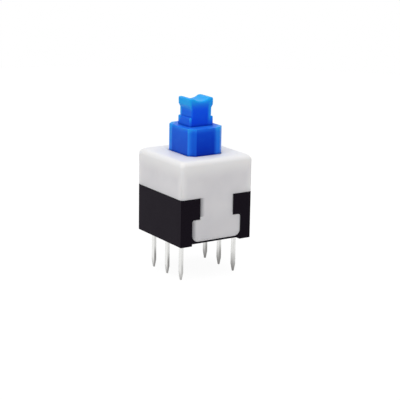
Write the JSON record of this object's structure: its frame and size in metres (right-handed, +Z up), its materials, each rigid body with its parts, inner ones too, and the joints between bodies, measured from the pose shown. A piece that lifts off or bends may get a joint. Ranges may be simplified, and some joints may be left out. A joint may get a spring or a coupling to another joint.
{
  "type": "latching push button switch",
  "caption": "Square latching push button switch for a circuit board: a white cover snapped on a black base, a blue plunger, and two rows of pins.",
  "frame": {"origin": "centre of the pin pattern, on the plane of the board that the two rails of the base stand on", "axes": "+Z up through the plunger, away from the board; Y along the rows of pins, with a snap leg of the cover on the faces that look along -Y and +Y; X across from one row to the other"},
  "size_m": [0.008, 0.008, 0.0172],
  "materials": {
    "cover_nylon": "moulded natural white nylon, soft satin",
    "base_pbt": "moulded black glass-filled polyester, fine satin",
    "plunger_pom": "moulded blue acetal, semi-gloss",
    "terminal_plate": "stamped brass strip with bright tin plating",
    "contact_bronze": "stamped phosphor bronze strip",
    "spring_steel": "drawn stainless spring wire and strip"
  },
  "bodies": {
    "housing": {"cover": "cover_nylon", "base": "base_pbt", "terminal_nc_left": "terminal_plate", "terminal_common_left": "terminal_plate", "terminal_no_left": "terminal_plate", "terminal_nc_right": "terminal_plate", "terminal_common_right": "terminal_plate", "terminal_no_right": "terminal_plate", "latch_leaf": "spring_steel", "return_spring": "spring_steel"},
    "plunger": {"plunger": "plunger_pom", "moving_contact_left": "contact_bronze", "moving_contact_right": "contact_bronze"},
    "latch": {"latch_wire": "spring_steel"}
  },
  "joints": [
    {"name": "plunger_slide", "type": "slide", "parent": "housing", "child": "plunger", "axis": [0, 0, -1], "range_m": [0, 0.0022], "stiffness_N_per_m": 450, "springref_m": -0.0027, "deforming": ["return_spring"]},
    {"name": "latch_swing", "type": "hinge", "parent": "housing", "child": "latch", "pos_m": [0, 0.00258, 0.00123], "axis": [0, 1, 0], "range_deg": [0, 14.2]}
  ],
  "couplings": [
    {"joint": "latch_swing", "follows": "plunger_slide", "rad_per_m": 110.35}
  ]
}
